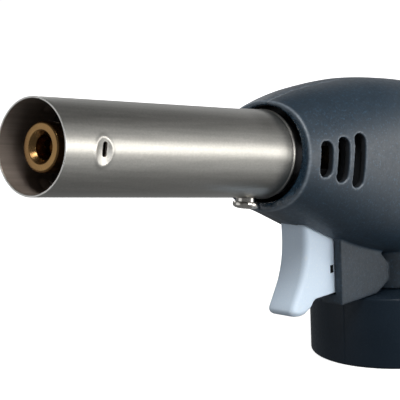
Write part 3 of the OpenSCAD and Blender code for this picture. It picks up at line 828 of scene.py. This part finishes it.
for a in th:
    r = prof[:, 0].copy()
    for c in (math.pi, math.pi + 2 * math.pi / 3, math.pi - 2 * math.pi / 3):
        off = abs(math.remainder(a - c, 2 * math.pi)) * 11
        if off < 4.2:
            r = r - np.array([dent(d, off) if 8 < d < 15 else 0 for d in prof[:, 1]])
    rings.append(T(prof[:, 1], r * math.cos(a), r * math.sin(a)))
tube = loft("burner_tube_drawn", rings, wrap=True, smooth=40)


def tilted(outline_ds, a0, r0, r1):
    """A cutter whose outline of (d, off) is pushed through the tube's wall at angle a0."""
    o = np.asarray(outline_ds, float)
    ca, sa = math.cos(a0), math.sin(a0)
    rr = []
    for r in (r0, r1):
        rr.append(T(o[:, 0], r * ca - o[:, 1] * sa, r * sa + o[:, 1] * ca))
    return loft("slit", rr)


for c in (math.pi, math.pi + 2 * math.pi / 3, math.pi - 2 * math.pi / 3):
    near = c == math.pi
    sl = [(d, -h if near else h) for d, h in slot_outline(12.1, 3.5 if near else 2.4, 1.2 if near else 0.6, 10)]
    boolean(tube, tilted([(d, h + (-0.45 if c == math.pi else 0.45)) for d, h in sl], c, 8.0, 12.5))
boolean(tube, bar("bore", T(73.4, 0, -14), T(73.4, 0, -6), 1.3, 32))
shade(tube, 42)
finish(tube, "housing", "stainless_tube", M["tube"], "burner_tube")
tube.data.materials.append(M["tube_in"])
tube.data.materials.append(M["tube_rim_highlight"])
for f in tube.data.polygons:
    x, y, z = f.center / MM
    x, z = x + MOUTH_X, z - MOUTH_Z
    d, r = x * CT - z * ST, math.hypot(y, x * ST + z * CT)
    # the rim faces at the mouth take the bright painted-highlight steel
    if d < 0.14:
        f.material_index = 2
    elif r < RO - 0.2 and not (8.6 < d < 14.6 and f.normal.dot(Vector((0, y, x * ST + z * CT))) > 0):
        f.material_index = 1

# ------------------------------------------------------------------ burner head, turned from brass
hp = [(2.75, 1.25), (3.8, 0.0), (5.65, 0.0), (5.65, 14.6), (4.8, 15.4), (4.05, 15.4), (4.05, 10.1), (1.9, 10.1), (1.9, 6.4), (2.75, 5.4)]
head = lathe("burner_head_turned", fillet(hp, [0.3, 0.22, 0.6, 0.3, 0.2, 0.2, 0.1, 0.1, 0.3, 0.3], 6), on_tube(2.8), 128)
finish(head, "housing", "burner_brass", M["burner_brass"], "burner_head")

# ------------------------------------------------------------------ screws


def cross(name, place, depth0, depth1, size, width):
    o = [(-size, -width), (-width, -width), (-width, -size), (width, -size), (width, -width), (size, -width),
         (size, width), (width, width), (width, size), (-width, size), (-width, width), (-size, width)]
    o = np.array(o, float)
    return loft(name, [place(o[:, 0] * f, o[:, 1] * f, np.full(len(o), z)) for z, f in ((depth0, 1.0), (depth1, 0.72))])


def pan_screw(name, place, head_r, head_h, shank_r, length, thread=True, recess=1.6, tap=0.55):
    """A pan head at along = 0 (top) to head_h, then the shank. Along runs into the work."""
    dome = [(0.02, 0.0)]
    for k in range(1, 9):
        a = k / 8 * math.pi / 2
        dome.append((head_r * (0.45 + 0.55 * math.sin(a)), head_h * 0.55 * (1 - math.cos(a)) ** 1.0))
    dome += [(head_r, head_h * 0.85), (head_r - 0.12, head_h)]
    prof = dome + [(shank_r + 0.1, head_h)]
    if thread:
        z = head_h + 0.4
        while z < length - 0.6:
            prof += [(shank_r - 0.22, z), (shank_r, z + 0.2), (shank_r - 0.22, z + 0.4)]
            z += 0.55
    prof += [(shank_r - 0.15, length - 0.4), (0.02, length)]
    ob = lathe(name, prof, place, 56, smooth=30)
    boolean(ob, cross("recess", place, -0.2, head_h * 0.72, recess, tap / 2))
    shade(ob, 30)
    return ob


def up_tube(u, v, w):
    """Along = 0 is the lowest face of the tube screw's head, running up to the axis."""
    c, s_ = math.cos(math.radians(20)), math.sin(math.radians(20))
    return T(73.4 + u * c - v * s_, u * s_ + v * c, -13.7 + w)


sc = pan_screw("tube_screw_turned", up_tube, 3.3, 1.7, 1.0, 5.0, recess=2.0, tap=0.9)
finish(sc, "housing", "zinc_steel", M["screw"], "tube_screw")
joined = None
for i, (x, z) in enumerate(POSTS + [NECK_POST]):
    def place(u, v, w, x=x, z=z):
        return np.stack([x + u, 5.1 - w + 0 * u, z + v], -1)
    o = pan_screw("housing_screw_%d" % i, place, 1.95, 1.55, 1.15, 11.0, recess=1.2, tap=0.5)
    if joined is None:
        joined = o
    else:
        boolean(joined, o, "UNION")
joined.name = "housing_screws_turned"
shade(joined, 30)
finish(joined, "housing", "zinc_steel", M["zinc"], "housing_screws")
# ------------------------------------------------------------------ knob: moulded, with rounded flutes
KR = 12.5
kp = fillet([(2.85, 0), (10.7, 0), (10.7, 2.4), (8.9, 2.8), (8.9, 6.4), (KR, 6.4), (KR, 20.4), (6.2, 20.4), (6.2, 19), (0.05, 19), (0.05, 17.3), (2.85, 17.3)],
            [0.2, 0.3, 0.4, 0.2, 0.3, 1.0, 1.4, 0.35, 0.1, 0, 0, 0.1], 7)
dense = []
for i in range(len(kp)):
    a, b = kp[i], kp[(i + 1) % len(kp)]
    n = max(1, int(np.linalg.norm(b - a) / 1.2))
    dense += [a + (b - a) * k / n for k in range(n)]
kp = np.array(dense)


def knob_radius(r, z, a):
    w = 0.5 + 0.5 * math.cos(16 * a)
    flute = 0.85 * w ** 2.2
    side = np.clip((r - 9.4) / 2.2, 0, 1) * np.clip((z - 7.4) / 1.6, 0, 1)
    return r - flute * side


knob = lathe("regulator_knob_moulded", kp, on_tube(157.6), 320, smooth=50, radius=knob_radius)
flat = cuboid("flat", 3.6, 17.3, -3, 3, 2.2, 3.4, place=lambda x, y, z: T(157.6 + x, y, z))
boolean(knob, flat, "UNION")
shade(knob, 50)
finish(knob, "knob", "trigger_plastic", M["trigger"], "regulator_knob")
cp = fillet([(0.05, 0), (6, 0), (6, 1.8), (3.6, 1.8), (3.2, 1.55), (0.05, 1.55)], [0, 0.2, 0.5, 0.2, 0.3, 0], 5)
cap = lathe("knob_cap_moulded", cp, on_tube(176.65), 96)
finish(cap, "knob", "housing_plastic", M["cap"], "knob_cap")

# ------------------------------------------------------------------ return spring
turns, steps, k = 4, 28, 10
rings = []
for i in range(turns * steps + 1):
    a = 2 * math.pi * i / steps
    x = -37.65 + 5.2 * i / (turns * steps)
    rings.append([(x + 0.25 * math.sin(b), (2.75 + 0.25 * math.cos(b)) * math.cos(a), 34.6 + (2.75 + 0.25 * math.cos(b)) * math.sin(a))
                  for b in np.linspace(0, 2 * math.pi, k, endpoint=False)])
spring = loft("trigger_spring_coiled", rings, smooth=60)
finish(spring, "housing", "zinc_steel", M["zinc"], "trigger_spring")
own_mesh(spring)

# ------------------------------------------------------------------ CAD nodes that stay, with finished materials and softened edges
STAY = {
    "bayonet_plate": ("zinc_steel", "zinc", 0.15), "inlet_nozzle": ("brass", "brass", 0.1), "inlet_seal": ("seal_rubber", "rubber", 0.15),
    "valve_body": ("brass", "brass", 0.2), "valve_spindle": ("zinc_steel", "zinc", 0.1), "spindle_seals": ("seal_rubber", "rubber", 0.1),
    "gland_nut": ("brass", "brass", 0.2), "gas_jet": ("brass", "brass", 0.1), "jet_filter": ("sintered_bronze", "bronze", 0.05),
    "tube_holder": ("diecast_zinc", "cast", 0.2), "mixing_tube": ("brass", "brass", 0.1), "flame_disc": ("dark_steel", "dark_steel", 0.1),
    "screw_washer": ("zinc_steel", "screw", 0.08), "plate_screws": ("zinc_steel", "zinc", 0.05), "electrode_rod": ("zinc_steel", "zinc", 0.05),
    "electrode_insulator": ("white_ceramic", "ceramic", 0.1), "ignition_lead": ("lead_silicone", "lead", 0),
    "earth_strip": ("brass", "brass", 0.05), "piezo_body": ("igniter_plastic", "igniter", 0.25), "piezo_plunger": ("plunger_plastic", "plunger", 0.15),
}
for node, (slot, mat, bevel) in STAY.items():
    ob = NODES[node]
    ob.data.materials.clear()
    ob.data.materials.append(M[mat])
    if bevel:
        m = ob.modifiers.new("edges", "BEVEL")
        m.width = bevel * MM
        m.segments = 2
        m.limit_method = "ANGLE"
        m.angle_limit = math.radians(40)
        m.harden_normals = True

# ------------------------------------------------------------------ floor, light
floor = add_mesh("floor", [(-6000, -6000, -0.05), (6000, -6000, -0.05), (6000, 6000, -0.05), (-6000, 6000, -0.05)], [(0, 1, 2, 3)])
rings = [[(5800 * math.cos(e) * math.cos(a), 5800 * math.cos(e) * math.sin(a), 5800 * math.sin(e) - 40)
          for a in np.linspace(0, 2 * math.pi, 64, endpoint=False)] for e in np.radians([-70, -40, -15, 0, 15, 35, 60, 85])]
dome = loft("backdrop", rings)
for ob, glow in ((floor, 0.87), (dome, 1.0)):
    fm = Nodes(ob.name + "_paper")
    fm.bsdf.inputs["Emission Color"].default_value = (1, 1, 1, 1)
    fm.bsdf.inputs["Emission Strength"].default_value = glow
    ob.data.materials.append(fm.done((0.9, 0.9, 0.9) if ob is floor else (0.02, 0.02, 0.02), 0.9, None, 0.0, 0.0))
    ob.visible_diffuse = False
    ob.visible_glossy = False
    ob.visible_shadow = False

world = bpy.data.worlds.new("studio")
SC.world = world
world.use_nodes = True
wt = world.node_tree
bg = wt.nodes["Background"]
tc = wt.nodes.new("ShaderNodeTexCoord")


def wmath(op, a, b):
    n = wt.nodes.new("ShaderNodeMath")
    n.operation = op
    for i, v in enumerate((a, b)):
        if isinstance(v, (int, float)):
            n.inputs[i].default_value = v
        else:
            wt.links.new(v, n.inputs[i])
    return n.outputs[0]


def wspan(value, lo, hi, a, b):
    n = wt.nodes.new("ShaderNodeMapRange")
    n.interpolation_type = "SMOOTHSTEP"
    wt.links.new(value, n.inputs["Value"])
    for k, v in (("From Min", lo), ("From Max", hi), ("To Min", a), ("To Max", b)):
        n.inputs[k].default_value = v
    return n.outputs[0]


def wdot(direction):
    n = wt.nodes.new("ShaderNodeVectorMath")
    n.operation = "DOT_PRODUCT"
    wt.links.new(tc.outputs["Generated"], n.inputs[0])
    n.inputs[1].default_value = tuple(direction)
    return n.outputs["Value"]


up = wdot((0, 0, 1))
level = wmath("ABSOLUTE", wmath("ADD", up, 0.05), 0)
wall = wmath("MULTIPLY", wspan(level, 0.41, 0.59, 1.0, 0.0), wspan(wdot((0.917, -0.40, 0)), 0.2, 0.6, 0.0, 1.0))
ambient = wspan(up, 0.2, 0.6, 0.165, 0.10)
light = wmath("ADD", ambient, wmath("MULTIPLY", wall, 0.45))
low = wmath("MULTIPLY", wspan(wmath("ABSOLUTE", wmath("ADD", up, 0.61), 0), 0.06, 0.24, 1.0, 0.0),
            wspan(wdot((0.917, -0.40, 0)), 0.35, 0.65, 0.0, 1.0))
light = wmath("ADD", light, wmath("MULTIPLY", low, 0.14))
light = wmath("ADD", light, wspan(wdot((-0.82, 0.57, 0.11)), 0.90, 0.97, 0.0, 0.7))
bg.inputs["Color"].default_value = (0.97, 0.985, 1, 1)
wt.links.new(light, bg.inputs["Strength"])


def softbox(name, pos, target, size, radiance, color=(1, 1, 1)):
    """An area light given by how bright its face is."""
    d = bpy.data.lights.new(name, "AREA")
    d.shape, d.size, d.size_y, d.color = "RECTANGLE", size[0], size[1], color
    d.energy = radiance * math.pi * size[0] * size[1]
    o = bpy.data.objects.new(name, d)
    o.location = pos
    o.rotation_euler = (Vector(target) - Vector(pos)).to_track_quat("-Z", "Y").to_euler()
    SC.collection.objects.link(o)
    return o


softbox("key", (0.70, -0.66, 0.05), (-0.06, 0, 0.065), (1.5, 0.25), 2.4, (1.0, 0.985, 0.95))
softbox("front", (-0.30, -0.42, 0.84), (-0.06, 0, 0.05), (0.35, 0.35), 12.0, (1.0, 0.99, 0.97))
softbox("side", (-0.22, -0.95, 0.36), (-0.04, 0, 0.03), (0.5, 0.4), 4.8, (0.98, 0.99, 1.0))
softbox("mid", (0.40, -0.90, 0.10), (-0.02, 0, 0.06), (0.5, 0.36), 2.3, (1.0, 0.98, 0.95))
softbox("back", (0.25, 0.95, 0.45), (-0.03, 0, 0.07), (1.0, 0.4), 2.4)

SC.view_settings.view_transform = "Standard"
SC.view_settings.look = "None"
